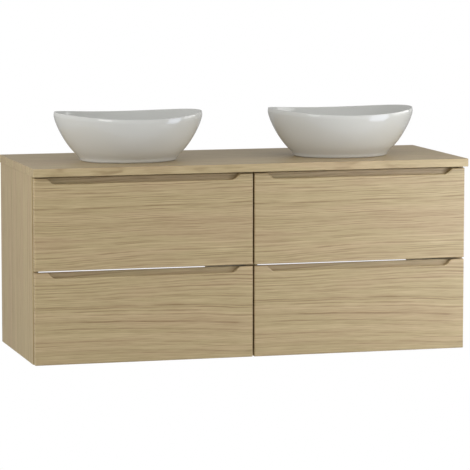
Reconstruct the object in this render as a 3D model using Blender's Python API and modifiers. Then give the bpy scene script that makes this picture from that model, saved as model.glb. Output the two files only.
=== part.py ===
"""Wall-hung double vanity: two oval vessel basins on an oak worktop over four drawers.

Frame: X runs along the width, Y towards the wall, Z up. X = 0 is the joint between the two
cabinets, Y = 0 is the middle of the depth, and Z = 0 is the underside of the cabinets.
All lengths are metres.
"""
import math

import bmesh
import bpy
from mathutils import Matrix

# ---------------------------------------------------------------- driving dimensions
CABINET_PITCH = 0.600
CABINET_WIDTH = 0.5997
CABINET_HEIGHT = 0.500
BOARD = 0.016
REAR_Y = 0.2325
FIT_GAP = 0.0003

WORKTOP_WIDTH = 1.205
WORKTOP_DEPTH = 0.465
WORKTOP_THICKNESS = 0.0217
WORKTOP_HOLE_RADIUS = 0.0245
WORKTOP_ROUNDING = 0.0010
BOARD_ROUNDING = 0.0004
DRILL_SIDES = 32

FRONT_FACE_Y = -0.2175
FRONT_THICKNESS = 0.020
FRONT_STANDOFF = 0.002
FRONT_GAP = 0.0045
FRONT_ROUNDING = 0.003
LIP_THICKNESS = 0.0050
GRIP_REAR_WALL = 0.0045
GRIP_SIDE_INSET = 0.036
GRIP_LIP_DROP = 0.0155
GRIP_CHANNEL_DROP = 0.0280
GRIP_CORNER_RADIUS = 0.016
GRIP_CORNER_STEPS = 4
CUTTER_OVERRUN = 0.006
LIP_CUT_OVERLAP = 0.002

RAIL_HEIGHT_REAR_TOP = 0.096
RAIL_HEIGHT_REAR_LOW = 0.080
RAIL_DEPTH_FRONT = 0.080
RAIL_INSET_REAR_TOP = 0.014

DRAWER_BASE_Z = {"lower": 0.022, "upper": 0.262}
DRAWER_SIDE_HEIGHT = 0.104
DRAWER_SIDE_CLEARANCE = 0.013
DRAWER_REAR_Y = 0.190
DRAWER_BOTTOM_THICKNESS = 0.012
STEEL = 0.0012
DRAWER_FLANGE = 0.014
RAIL_REACH = 0.009
RAIL_LIP = 0.018
RAIL_LEVEL = 0.040
RUNNER_PLAY = 0.002
RUNNER_MOUTH_GAP = 0.0025
RUNNER_FRONT_Y = -0.193
RUNNER_REAR_Y = 0.200

SURROUND_INNER_RADIUS = 0.056
SURROUND_WALL = 0.003
SURROUND_STEPS = 10
NOTCH_FLOOR_Z = 0.300

BASIN_CENTRE_Y = -0.0315
BASIN_RIM = (0.202, 0.172)
BASIN_FOOT = (0.130, 0.106)
BASIN_FLOOR = (0.112, 0.088)
BASIN_END_HEIGHT = 0.133
BASIN_SIDE_HEIGHT = 0.121
BASIN_FOOT_HEIGHT = 0.0094
BASIN_FOOT_ROUNDING = 0.0015
BASIN_RIM_RADIUS = 0.004
BASIN_FLOOR_HEIGHT = 0.018
BASIN_OUTER_BULGE = (1.33, 1.31)
BASIN_INNER_BULGE = (1.40, 1.60)
BASIN_OUTER_CROWDING = 1.5
BASIN_INNER_CROWDING = 1.7
DRAIN_RECESS_RADIUS = 0.036
DRAIN_HOLE_RADIUS = 0.023
DRAIN_FALL = 0.003
DRAIN_RECESS_DEPTH = 0.0025
BASIN_SEGMENTS = 44

WASTE_TAIL_RADIUS = 0.021
WASTE_BORE_RADIUS = 0.0185
WASTE_FLANGE_RADIUS = 0.0335
WASTE_FLANGE_HEIGHT = 0.0030
WASTE_FLANGE_EDGE = 0.0010
WASTE_TAIL_END_Z = 0.400
PLUG_RADIUS = 0.031
PLUG_HEIGHT = 0.0060
PLUG_EDGE_HEIGHT = 0.0020
PLUG_CROWN_STEPS = 3
PLUG_GAP = 0.0008
PLUG_STEM_RADIUS = 0.004
PLUG_STEM_LENGTH = 0.050
NUT_RADIUS = 0.031
NUT_HEIGHT = 0.011

TRAP_RADIUS = 0.030
TRAP_BOTTOM_Z = 0.315
TRAP_SHOULDER_Z = 0.393
TRAP_TOP_Z = 0.440
TRAP_SLEEVE_RADIUS = 0.027
TRAP_WALL = 0.0025
TRAP_FOOT_CHAMFER = 0.004
OUTLET_Z = 0.372
OUTLET_RADIUS = 0.016
OUTLET_WALL = 0.003
OUTLET_INSIDE = 0.001
OUTLET_DRILL_BACK = 0.010
OUTLET_DRILL_REACH = 0.030

HANGER_WIDTH = 0.018
HANGER_BODY_DEPTH = 0.050
HANGER_BODY_DROP = (0.010, 0.060)
HOOK_DROP = (0.018, 0.030, 0.048)
HOOK_GAP = 0.0055
HOOK_THICKNESS = 0.004
HOOK_SLOT_CLEARANCE = 0.001

# ---------------------------------------------------------------- derived places
FRONT_HEIGHT = (CABINET_HEIGHT - 2.0 * FRONT_GAP) / 2.0
FRONT_REAR_Y = FRONT_FACE_Y + FRONT_THICKNESS
CARCASS_FRONT_Y = FRONT_REAR_Y + FRONT_STANDOFF
WORKTOP_BOTTOM_Z = CABINET_HEIGHT + FIT_GAP
WORKTOP_TOP_Z = WORKTOP_BOTTOM_Z + WORKTOP_THICKNESS
BASIN_BASE_Z = WORKTOP_TOP_Z + FIT_GAP
DRAIN_RIM_Z = WORKTOP_TOP_Z + BASIN_FLOOR_HEIGHT - DRAIN_FALL
DRAIN_RECESS_Z = DRAIN_RIM_Z - DRAIN_RECESS_DEPTH
CABINET_CENTRES = {"left": -CABINET_PITCH / 2.0, "right": CABINET_PITCH / 2.0}
INNER_HALF = CABINET_WIDTH / 2.0 - BOARD
DRAWER_HALF = INNER_HALF - DRAWER_SIDE_CLEARANCE

ROUND_STEPS = 24
WELD_DISTANCE = 1e-5
PIVOT_SIZE = 0.03
HALF_DIAGONAL = math.radians(22.5)

COLLECTION = "vessel_basin_double_vanity"
CUTTERS = "cutters"


# ---------------------------------------------------------------- scene and materials
def clear_scene():
    """Remove every object so that the model starts from nothing."""
    for item in list(bpy.data.objects):
        bpy.data.objects.remove(item, do_unlink=True)


def new_collection(name):
    """Make a collection under the scene's root."""
    group = bpy.data.collections.new(name)
    bpy.context.scene.collection.children.link(group)
    return group


def finish(name, colour, roughness, metallic=0.0):
    """Make a Principled material from a linear colour, a roughness and a metallic value."""
    made = bpy.data.materials.new(name)
    made.use_nodes = True
    shader = made.node_tree.nodes["Principled BSDF"]
    shader.inputs["Base Color"].default_value = (*colour, 1.0)
    shader.inputs["Roughness"].default_value = roughness
    shader.inputs["Metallic"].default_value = metallic
    return made


def make_finishes():
    """All the finishes of the object, by name."""
    return {
        "oak": finish("oak_laminate", (0.42, 0.33, 0.22), 0.55),
        "ceramic": finish("glazed_ceramic", (0.80, 0.80, 0.78), 0.08),
        "steel": finish("zinc_steel", (0.55, 0.56, 0.57), 0.40, 1.0),
        "sides": finish("grey_drawer_steel", (0.30, 0.31, 0.32), 0.45, 0.6),
        "board": finish("grey_drawer_board", (0.45, 0.44, 0.42), 0.60),
        "chrome": finish("chrome", (0.80, 0.80, 0.80), 0.08, 1.0),
        "plastic": finish("white_plastic", (0.78, 0.78, 0.77), 0.35),
    }


# ---------------------------------------------------------------- building blocks
def place(item, group, material):
    """Put an object in a collection, out of any other, and give it its material."""
    for holder in list(item.users_collection):
        holder.objects.unlink(item)
    group.objects.link(item)
    item.data.materials.clear()
    if material is not None:
        item.data.materials.append(material)
    return item


def block(name, low, high, group, material, rounding=0.0, segments=1):
    """A board or plate between two corners, with its edges rounded where asked."""
    bpy.ops.mesh.primitive_cube_add(size=1.0, location=[(a + b) / 2.0 for a, b in zip(low, high)])
    item = bpy.context.object
    item.name = name
    item.data.name = name
    item.data.transform(Matrix.Diagonal([b - a for a, b in zip(low, high)] + [1.0]))
    if rounding > 0.0:
        bevel = item.modifiers.new("rounded_edges", "BEVEL")
        bevel.width = rounding
        bevel.segments = segments
        bevel.limit_method = "ANGLE"
    return place(item, group, material)


def extrusion(name, outline, length, matrix, group, material):
    """A flat outline given length along its own Z, then placed by a matrix."""
    flat = bpy.data.curves.new(name + "_outline", "CURVE")
    flat.dimensions = "2D"
    flat.fill_mode = "BOTH"
    flat.extrude = length / 2.0
    spline = flat.splines.new("POLY")
    spline.points.add(len(outline) - 1)
    for point, (u, v) in zip(spline.points, outline):
        point.co = (u, v, 0.0, 1.0)
    spline.use_cyclic_u = True
    guide = bpy.data.objects.new(name + "_guide", flat)
    bpy.context.scene.collection.objects.link(guide)
    bpy.context.view_layer.update()
    shape = bpy.data.meshes.new_from_object(guide.evaluated_get(bpy.context.evaluated_depsgraph_get()))
    bpy.data.objects.remove(guide, do_unlink=True)
    bpy.data.curves.remove(flat)
    work = bmesh.new()
    work.from_mesh(shape)
    bmesh.ops.remove_doubles(work, verts=work.verts, dist=WELD_DISTANCE)
    bmesh.ops.recalc_face_normals(work, faces=work.faces)
    work.to_mesh(shape)
    work.free()
    shape.name = name
    item = bpy.data.objects.new(name, shape)
    item.matrix_world = matrix
    return place(item, group, material)


def turned(name, profile, closed, matrix, group, material):
    """A profile of (radius, height) points turned about Z, then placed by a matrix."""
    shape = bpy.data.meshes.new(name)
    points = [(radius, 0.0, height) for radius, height in profile]
    edges = [(k, k + 1) for k in range(len(points) - 1)]
    if closed:
        edges.append((len(points) - 1, 0))
    shape.from_pydata(points, edges, [])
    item = bpy.data.objects.new(name, shape)
    item.matrix_world = matrix
    place(item, group, material)
    screw = item.modifiers.new("turned", "SCREW")
    screw.steps = ROUND_STEPS
    screw.render_steps = ROUND_STEPS
    screw.use_merge_vertices = True
    screw.merge_threshold = WELD_DISTANCE
    screw.use_smooth_shade = True
    return item


def cutter_from(item):
    """Mark an object as a cutter: drawn as wire and left out of the model."""
    item.hide_render = True
    item.display_type = "WIRE"
    return item


def cut(item, tool):
    """Take a cutter's shape away from an object."""
    knife = item.modifiers.new("cut_" + tool.name, "BOOLEAN")
    knife.operation = "DIFFERENCE"
    knife.solver = "EXACT"
    knife.object = tool


def carry(pieces, name, location, group):
    """Parent moving pieces to an empty that lies on their joint's axis."""
    pivot = bpy.data.objects.new(name, None)
    pivot.location = location
    pivot.empty_display_size = PIVOT_SIZE
    group.objects.link(pivot)
    for piece in pieces:
        piece.parent = pivot
        piece.matrix_parent_inverse = Matrix.Translation([-c for c in location])


def facing_rear():
    """Turn a shape's own Z to the object's Y, its own Y to the object's -Z."""
    return Matrix.Rotation(math.radians(-90.0), 4, "X")


def upright_profile():
    """Stand a flat outline up: its own Y becomes Z, and its thickness runs along -Y."""
    return Matrix.Rotation(math.radians(90.0), 4, "X")


# ---------------------------------------------------------------- worktop
def make_worktop(group, cutters, finishes):
    """The oak slab, with a waste hole under each basin."""
    half = WORKTOP_WIDTH / 2.0
    slab = block(
        "worktop",
        (-half, -WORKTOP_DEPTH / 2.0, WORKTOP_BOTTOM_Z),
        (half, WORKTOP_DEPTH / 2.0, WORKTOP_TOP_Z),
        group,
        finishes["oak"],
        rounding=WORKTOP_ROUNDING,
        segments=2,
    )
    for side, centre in CABINET_CENTRES.items():
        bpy.ops.mesh.primitive_cylinder_add(
            vertices=DRILL_SIDES,
            radius=WORKTOP_HOLE_RADIUS,
            depth=3.0 * WORKTOP_THICKNESS,
            location=(centre, BASIN_CENTRE_Y, WORKTOP_TOP_Z - WORKTOP_THICKNESS / 2.0),
        )
        drill = bpy.context.object
        drill.name = "worktop_drill_" + side
        cut(slab, cutter_from(place(drill, cutters, None)))


# ---------------------------------------------------------------- basins
def swell(t, bulge):
    """How far a bowl's wall has opened, 0 at its foot and 1 at its rim, at a share t of its height."""
    rise, spread = bulge
    return (1.0 - (1.0 - t) ** rise) ** (1.0 / spread)


def rim_height(angle):
    """Height of the boat-shaped rim, highest at the two ends."""
    return BASIN_SIDE_HEIGHT + (BASIN_END_HEIGHT - BASIN_SIDE_HEIGHT) * math.cos(angle) ** 2


def oval_ring(half_x, half_y, height):
    """One loop of the basin; height is a number or a function of the angle."""
    ring = []
    for k in range(BASIN_SEGMENTS):
        angle = 2.0 * math.pi * k / BASIN_SEGMENTS
        level = height(angle) if callable(height) else height
        ring.append((half_x * math.cos(angle), half_y * math.sin(angle), level))
    return ring


def basin_outer_rings(steps=7):
    """The outside, from the waste hole in the underside to the start of the rim."""
    base = BASIN_BASE_Z - WORKTOP_TOP_Z
    soft = BASIN_FOOT_ROUNDING
    rings = [
        oval_ring(DRAIN_HOLE_RADIUS, DRAIN_HOLE_RADIUS, base),
        oval_ring(BASIN_FOOT[0] - soft, BASIN_FOOT[1] - soft, base),
        oval_ring(BASIN_FOOT[0], BASIN_FOOT[1], base + soft),
    ]
    for k in range(steps + 1):
        share = (k / steps) ** BASIN_OUTER_CROWDING
        opened = swell(share, BASIN_OUTER_BULGE)
        half_x = BASIN_FOOT[0] + (BASIN_RIM[0] - BASIN_FOOT[0]) * opened
        half_y = BASIN_FOOT[1] + (BASIN_RIM[1] - BASIN_FOOT[1]) * opened

        def level(angle, share=share):
            top = rim_height(angle) - BASIN_RIM_RADIUS
            return BASIN_FOOT_HEIGHT + (top - BASIN_FOOT_HEIGHT) * share

        rings.append(oval_ring(half_x, half_y, level))
    return rings


def basin_rim_rings(steps=4):
    """The half-round top of the wall."""
    rings = []
    for k in range(1, steps):
        turn = math.pi * k / steps
        inset = BASIN_RIM_RADIUS * (1.0 - math.cos(turn))
        lift = BASIN_RIM_RADIUS * (math.sin(turn) - 1.0)

        def level(angle, lift=lift):
            return rim_height(angle) + lift

        rings.append(oval_ring(BASIN_RIM[0] - inset, BASIN_RIM[1] - inset, level))
    return rings


def basin_inner_rings(steps=7):
    """The inside, from the rim down to the waste hole."""
    rings = []
    wall = 2.0 * BASIN_RIM_RADIUS
    for k in range(steps + 1):
        share = (1.0 - k / steps) ** BASIN_INNER_CROWDING
        opened = swell(share, BASIN_INNER_BULGE)
        half_x = BASIN_FLOOR[0] + (BASIN_RIM[0] - wall - BASIN_FLOOR[0]) * opened
        half_y = BASIN_FLOOR[1] + (BASIN_RIM[1] - wall - BASIN_FLOOR[1]) * opened

        def level(angle, share=share):
            top = rim_height(angle) - BASIN_RIM_RADIUS
            return BASIN_FLOOR_HEIGHT + (top - BASIN_FLOOR_HEIGHT) * share

        rings.append(oval_ring(half_x, half_y, level))
    rim_level = BASIN_FLOOR_HEIGHT - DRAIN_FALL
    middle = [(f + DRAIN_RECESS_RADIUS) / 2.0 for f in BASIN_FLOOR]
    rings.append(oval_ring(middle[0], middle[1], BASIN_FLOOR_HEIGHT - DRAIN_FALL / 2.0))
    rings.append(oval_ring(DRAIN_RECESS_RADIUS, DRAIN_RECESS_RADIUS, rim_level))
    rings.append(oval_ring(DRAIN_RECESS_RADIUS, DRAIN_RECESS_RADIUS, rim_level - DRAIN_RECESS_DEPTH))
    rings.append(oval_ring(DRAIN_HOLE_RADIUS, DRAIN_HOLE_RADIUS, rim_level - DRAIN_RECESS_DEPTH))
    return rings


def make_basin(name, centre, group, finishes):
    """One oval vessel: a loft through its rings, closed through the waste hole."""
    rings = basin_outer_rings() + basin_rim_rings() + basin_inner_rings()
    work = bmesh.new()
    loops = [[work.verts.new(point) for point in ring] for ring in rings]
    for k, loop in enumerate(loops):
        above = loops[(k + 1) % len(loops)]
        for j in range(BASIN_SEGMENTS):
            after = (j + 1) % BASIN_SEGMENTS
            work.faces.new((loop[j], loop[after], above[after], above[j]))
    bmesh.ops.recalc_face_normals(work, faces=work.faces)
    shape = bpy.data.meshes.new(name)
    work.to_mesh(shape)
    work.free()
    shape.shade_smooth()
    shape.set_sharp_from_angle(angle=math.radians(40.0))
    item = bpy.data.objects.new(name, shape)
    item.location = (centre, BASIN_CENTRE_Y, WORKTOP_TOP_Z)
    return place(item, group, finishes["ceramic"])


# ---------------------------------------------------------------- waste and trap
def plug_crown(under):
    """The domed top of a push plug, from its middle to the top of its upright edge."""
    rise = PLUG_HEIGHT - PLUG_EDGE_HEIGHT
    crown = [(0.0, under + PLUG_HEIGHT)]
    for k in range(1, PLUG_CROWN_STEPS + 1):
        turn = math.pi / 2.0 * k / PLUG_CROWN_STEPS
        crown.append((PLUG_RADIUS * math.sin(turn), under + PLUG_EDGE_HEIGHT + rise * math.cos(turn)))
    return crown


def make_waste(side, centre, group, finishes):
    """The flanged waste, its push plug on a stem, and the nut under the worktop."""
    at_drain = Matrix.Translation((centre, BASIN_CENTRE_Y, 0.0))
    seat = DRAIN_RECESS_Z + FIT_GAP
    flange_top = seat + WASTE_FLANGE_HEIGHT
    turned(
        "waste_body_" + side,
        [
            (WASTE_BORE_RADIUS, flange_top - WASTE_FLANGE_EDGE),
            (WASTE_BORE_RADIUS + WASTE_FLANGE_EDGE, flange_top),
            (WASTE_FLANGE_RADIUS - WASTE_FLANGE_EDGE, flange_top),
            (WASTE_FLANGE_RADIUS, flange_top - WASTE_FLANGE_EDGE),
            (WASTE_FLANGE_RADIUS, seat),
            (WASTE_TAIL_RADIUS, seat),
            (WASTE_TAIL_RADIUS, WASTE_TAIL_END_Z),
            (WASTE_BORE_RADIUS, WASTE_TAIL_END_Z),
        ],
        True,
        at_drain,
        group,
        finishes["chrome"],
    )
    under = flange_top + PLUG_GAP
    plug = turned(
        "waste_plug_" + side,
        plug_crown(under)
        + [
            (PLUG_RADIUS, under),
            (PLUG_STEM_RADIUS, under),
            (PLUG_STEM_RADIUS, under - PLUG_STEM_LENGTH),
            (0.0, under - PLUG_STEM_LENGTH),
        ],
        False,
        at_drain,
        group,
        finishes["chrome"],
    )
    carry([plug], "waste_plug_axis_" + side, (centre, BASIN_CENTRE_Y, under), group)
    top = WORKTOP_BOTTOM_Z - FIT_GAP
    bore = WASTE_TAIL_RADIUS + FIT_GAP
    turned(
        "waste_nut_" + side,
        [
            (bore, top),
            (NUT_RADIUS, top),
            (NUT_RADIUS, top - NUT_HEIGHT),
            (bore, top - NUT_HEIGHT),
        ],
        True,
        at_drain,
        group,
        finishes["plastic"],
    )


def make_trap(side, centre, group, cutters, finishes):
    """The bottle trap pushed over the waste tail, and its outlet pipe to the wall."""
    at_drain = Matrix.Translation((centre, BASIN_CENTRE_Y, 0.0))
    sleeve_bore = WASTE_TAIL_RADIUS + FIT_GAP
    chamber = TRAP_RADIUS - TRAP_WALL
    body = turned(
        "trap_body_" + side,
        [
            (0.0, TRAP_BOTTOM_Z + TRAP_WALL),
            (chamber, TRAP_BOTTOM_Z + TRAP_WALL),
            (chamber, TRAP_SHOULDER_Z - TRAP_WALL),
            (sleeve_bore, TRAP_SHOULDER_Z),
            (sleeve_bore, TRAP_TOP_Z),
            (TRAP_SLEEVE_RADIUS, TRAP_TOP_Z),
            (TRAP_SLEEVE_RADIUS, TRAP_SHOULDER_Z + TRAP_WALL),
            (TRAP_RADIUS, TRAP_SHOULDER_Z),
            (TRAP_RADIUS, TRAP_BOTTOM_Z + TRAP_FOOT_CHAMFER),
            (TRAP_RADIUS - TRAP_FOOT_CHAMFER, TRAP_BOTTOM_Z),
            (0.0, TRAP_BOTTOM_Z),
        ],
        False,
        at_drain,
        group,
        finishes["chrome"],
    )
    start = BASIN_CENTRE_Y + chamber - OUTLET_INSIDE
    drill = turned(
        "trap_drill_" + side,
        [
            (0.0, OUTLET_DRILL_REACH),
            (OUTLET_RADIUS + FIT_GAP, OUTLET_DRILL_REACH),
            (OUTLET_RADIUS + FIT_GAP, -OUTLET_DRILL_BACK),
            (0.0, -OUTLET_DRILL_BACK),
        ],
        False,
        Matrix.Translation((centre, start, OUTLET_Z)) @ facing_rear(),
        cutters,
        None,
    )
    cut(body, cutter_from(drill))
    length = REAR_Y - start
    turned(
        "trap_outlet_" + side,
        [
            (OUTLET_RADIUS - OUTLET_WALL, length),
            (OUTLET_RADIUS, length),
            (OUTLET_RADIUS, 0.0),
            (OUTLET_RADIUS - OUTLET_WALL, 0.0),
        ],
        True,
        Matrix.Translation((centre, start, OUTLET_Z)) @ facing_rear(),
        group,
        finishes["chrome"],
    )


# ---------------------------------------------------------------- cabinets
def make_carcass(side, centre, group, cutters, finishes):
    """Two side panels, a bottom and three rails; the back stays open for the pipes."""
    half = CABINET_WIDTH / 2.0
    inner = INNER_HALF - FIT_GAP
    for hand, sign in (("left", -1.0), ("right", 1.0)):
        outer_x = centre + sign * half
        inner_x = centre + sign * INNER_HALF
        block(
            "cabinet_{}_side_{}".format(side, hand),
            (min(outer_x, inner_x), CARCASS_FRONT_Y, 0.0),
            (max(outer_x, inner_x), REAR_Y, CABINET_HEIGHT),
            group,
            finishes["oak"],
            rounding=BOARD_ROUNDING,
        )
    block(
        "cabinet_{}_bottom".format(side),
        (centre - inner, CARCASS_FRONT_Y, 0.0),
        (centre + inner, REAR_Y, BOARD),
        group,
        finishes["oak"],
        rounding=BOARD_ROUNDING,
    )
    block(
        "cabinet_{}_front_rail".format(side),
        (centre - inner, CARCASS_FRONT_Y, CABINET_HEIGHT - BOARD),
        (centre + inner, CARCASS_FRONT_Y + RAIL_DEPTH_FRONT, CABINET_HEIGHT),
        group,
        finishes["oak"],
        rounding=BOARD_ROUNDING,
    )
    block(
        "cabinet_{}_lower_rear_rail".format(side),
        (centre - inner, REAR_Y - BOARD, BOARD + FIT_GAP),
        (centre + inner, REAR_Y, BOARD + RAIL_HEIGHT_REAR_LOW),
        group,
        finishes["oak"],
        rounding=BOARD_ROUNDING,
    )
    rail_rear = REAR_Y - RAIL_INSET_REAR_TOP
    rail = block(
        "cabinet_{}_hanging_rail".format(side),
        (centre - inner, rail_rear - BOARD, CABINET_HEIGHT - RAIL_HEIGHT_REAR_TOP),
        (centre + inner, rail_rear, CABINET_HEIGHT),
        group,
        finishes["oak"],
        rounding=BOARD_ROUNDING,
    )
    for hand, sign in (("left", -1.0), ("right", 1.0)):
        middle = centre + sign * (INNER_HALF - 2.0 * FIT_GAP - HANGER_WIDTH / 2.0 - HOOK_SLOT_CLEARANCE)
        make_hanger("hanger_{}_{}".format(side, hand), middle, rail_rear, group, finishes)
        slot_half = HANGER_WIDTH / 2.0 + HOOK_SLOT_CLEARANCE
        slot_low = CABINET_HEIGHT - HOOK_DROP[1] - HOOK_SLOT_CLEARANCE
        slot_high = CABINET_HEIGHT - HOOK_DROP[0] + HOOK_SLOT_CLEARANCE
        slot = block(
            "hanger_slot_{}_{}".format(side, hand),
            (middle - slot_half, rail_rear - 2.0 * BOARD, slot_low),
            (middle + slot_half, rail_rear + BOARD, slot_high),
            cutters,
            None,
        )
        cut(rail, cutter_from(slot))


def make_hanger(name, middle, rail_rear, group, finishes):
    """The steel hanger behind the rail's inner face, its hook passing through to the wall side."""
    body_rear = rail_rear - BOARD - FIT_GAP
    top = CABINET_HEIGHT
    body_front = body_rear - HANGER_BODY_DEPTH
    body_high, body_low = [top - drop for drop in HANGER_BODY_DROP]
    neck_high, neck_low, tip_low = [top - drop for drop in HOOK_DROP]
    hook_front = rail_rear + HOOK_GAP
    hook_rear = hook_front + HOOK_THICKNESS
    outline = [
        (body_front, body_low),
        (body_rear, body_low),
        (body_rear, neck_low),
        (hook_front, neck_low),
        (hook_front, tip_low),
        (hook_rear, tip_low),
        (hook_rear, neck_high),
        (body_rear, neck_high),
        (body_rear, body_high),
        (body_front, body_high),
    ]
    stand = Matrix(((0, 0, 1, middle), (1, 0, 0, 0), (0, 1, 0, 0), (0, 0, 0, 1)))
    extrusion(name, outline, HANGER_WIDTH, stand, group, finishes["steel"])


def make_fixed_runner(side, level, hand, centre, group, finishes):
    """The C-shaped rail screwed to the inside of a side panel."""
    sign = -1.0 if hand == "left" else 1.0
    base = DRAWER_BASE_Z[level]
    root = INNER_HALF - FIT_GAP
    mouth = DRAWER_HALF + RUNNER_MOUTH_GAP
    low = base + RAIL_LEVEL + STEEL - RAIL_LIP - 2.0 * STEEL - RUNNER_PLAY
    high = base + RAIL_LEVEL + STEEL + RUNNER_PLAY + STEEL
    outline = [
        (mouth, low),
        (root, low),
        (root, high),
        (mouth, high),
        (mouth, high - STEEL),
        (root - STEEL, high - STEEL),
        (root - STEEL, low + STEEL),
        (mouth, low + STEEL),
    ]
    middle = Matrix.Translation((centre, (RUNNER_FRONT_Y + RUNNER_REAR_Y) / 2.0, 0.0))
    extrusion(
        "runner_{}_{}_{}".format(level, side, hand),
        [(sign * u, v) for u, v in outline],
        RUNNER_REAR_Y - RUNNER_FRONT_Y,
        middle @ upright_profile(),
        group,
        finishes["steel"],
    )


# ---------------------------------------------------------------- drawers
def grip_outline(half_width, top, drop):
    """The finger grip seen from the front: 45-degree ends and softened lower corners."""
    over = CUTTER_OVERRUN
    radius = GRIP_CORNER_RADIUS
    upper = half_width - GRIP_SIDE_INSET
    lower = upper - drop
    tangent = radius * math.tan(HALF_DIAGONAL)
    points = [(-(upper + over), top + over)]
    for sign in (-1.0, 1.0):
        arc_x = lower - tangent
        arc = []
        for k in range(GRIP_CORNER_STEPS + 1):
            turn = 2.0 * HALF_DIAGONAL * k / GRIP_CORNER_STEPS
            rise = radius * (1.0 - math.cos(turn))
            arc.append((sign * (arc_x + radius * math.sin(turn)), top - drop + rise))
        points += reversed(arc) if sign < 0 else arc
    points.append((upper + over, top + over))
    return points


def make_front(name, centre, bottom, group, cutters, finishes):
    """A drawer front with the finger grip milled into its top edge."""
    half = CABINET_WIDTH / 2.0 - FRONT_GAP / 2.0
    top = bottom + FRONT_HEIGHT
    front = block(
        name,
        (centre - half, FRONT_FACE_Y, bottom),
        (centre + half, FRONT_REAR_Y, top),
        group,
        finishes["oak"],
        rounding=FRONT_ROUNDING,
        segments=3,
    )
    lip_rear = FRONT_FACE_Y + LIP_THICKNESS
    channel_rear = FRONT_REAR_Y - GRIP_REAR_WALL
    cuts = (
        ("lip", GRIP_LIP_DROP, FRONT_FACE_Y - CUTTER_OVERRUN, lip_rear + LIP_CUT_OVERLAP),
        ("channel", GRIP_CHANNEL_DROP, lip_rear, channel_rear),
    )
    for kind, drop, near, far in cuts:
        tool = extrusion(
            "{}_{}_cutter".format(name, kind),
            grip_outline(half, top, drop),
            far - near,
            Matrix.Translation((centre, (near + far) / 2.0, 0.0)) @ upright_profile(),
            cutters,
            None,
        )
        cut(front, cutter_from(tool))
    return front


def make_drawer_side(name, hand, centre, base, group, finishes):
    """One steel drawer side: web, flange under the bottom panel and the rail that slides."""
    sign = -1.0 if hand == "left" else 1.0
    level = base + RAIL_LEVEL
    tip = DRAWER_HALF + RAIL_REACH
    outline = [
        (DRAWER_HALF - DRAWER_FLANGE, base),
        (DRAWER_HALF, base),
        (DRAWER_HALF, level),
        (tip - STEEL, level),
        (tip - STEEL, level + STEEL - RAIL_LIP),
        (tip, level + STEEL - RAIL_LIP),
        (tip, level + STEEL),
        (DRAWER_HALF, level + STEEL),
        (DRAWER_HALF, base + DRAWER_SIDE_HEIGHT),
        (DRAWER_HALF - STEEL, base + DRAWER_SIDE_HEIGHT),
        (DRAWER_HALF - STEEL, base + STEEL),
        (DRAWER_HALF - DRAWER_FLANGE, base + STEEL),
    ]
    near = FRONT_REAR_Y + FIT_GAP
    return extrusion(
        name,
        [(sign * u, v) for u, v in outline],
        DRAWER_REAR_Y - near,
        Matrix.Translation((centre, (near + DRAWER_REAR_Y) / 2.0, 0.0)) @ upright_profile(),
        group,
        finishes["sides"],
    )


def surround_outline(radius):
    """Half of a U seen from above: round towards the front, straight towards the wall."""
    turns = [math.pi * k / SURROUND_STEPS for k in range(SURROUND_STEPS + 1)]
    return [(radius * math.cos(turn), -radius * math.sin(turn)) for turn in turns]


def make_surround(name, centre, base, rear, group, finishes):
    """The U-shaped wall that keeps the drawer's contents off the trap."""
    low = base + STEEL + 2.0 * FIT_GAP + DRAWER_BOTTOM_THICKNESS
    high = base + DRAWER_SIDE_HEIGHT
    inner = surround_outline(SURROUND_INNER_RADIUS)
    outer = surround_outline(SURROUND_INNER_RADIUS + SURROUND_WALL)
    run = rear - BASIN_CENTRE_Y
    outline = [(outer[0][0], run)] + outer + [(outer[-1][0], run), (inner[-1][0], run)]
    outline += list(reversed(inner)) + [(inner[0][0], run)]
    middle = Matrix.Translation((centre, BASIN_CENTRE_Y, (low + high) / 2.0))
    return extrusion(name, outline, high - low, middle, group, finishes["plastic"])


def make_drawer(level, side, centre, group, cutters, finishes):
    """Front, two steel sides, bottom, back and, in an upper drawer, the trap surround."""
    base = DRAWER_BASE_Z[level]
    tag = "{}_{}".format(level, side)
    bottom_edge = 0.0 if level == "lower" else FRONT_HEIGHT + FRONT_GAP
    half = DRAWER_HALF - STEEL - FIT_GAP
    shelf = base + STEEL + FIT_GAP
    back_front = DRAWER_REAR_Y - BOARD
    pieces = [make_front("drawer_front_" + tag, centre, bottom_edge, group, cutters, finishes)]
    for hand in ("left", "right"):
        name = "drawer_side_{}_{}".format(tag, hand)
        pieces.append(make_drawer_side(name, hand, centre, base, group, finishes))
    pieces.append(
        block(
            "drawer_bottom_" + tag,
            (centre - half, FRONT_REAR_Y + FIT_GAP, shelf),
            (centre + half, back_front - FIT_GAP, shelf + DRAWER_BOTTOM_THICKNESS),
            group,
            finishes["board"],
        )
    )
    back = block(
        "drawer_back_" + tag,
        (centre - half, back_front, shelf),
        (centre + half, DRAWER_REAR_Y, base + DRAWER_SIDE_HEIGHT),
        group,
        finishes["board"],
    )
    pieces.append(back)
    if level == "upper":
        reach = back_front - FIT_GAP
        pieces.append(make_surround("trap_surround_" + side, centre, base, reach, group, finishes))
        notch = block(
            "back_notch_" + side,
            (centre - SURROUND_INNER_RADIUS, back_front - BOARD, NOTCH_FLOOR_Z),
            (centre + SURROUND_INNER_RADIUS, DRAWER_REAR_Y + BOARD, base + 2.0 * DRAWER_SIDE_HEIGHT),
            cutters,
            None,
        )
        cut(back, cutter_from(notch))
    carry(pieces, "drawer_slide_" + tag, (centre, FRONT_FACE_Y, base + RAIL_LEVEL), group)


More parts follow.
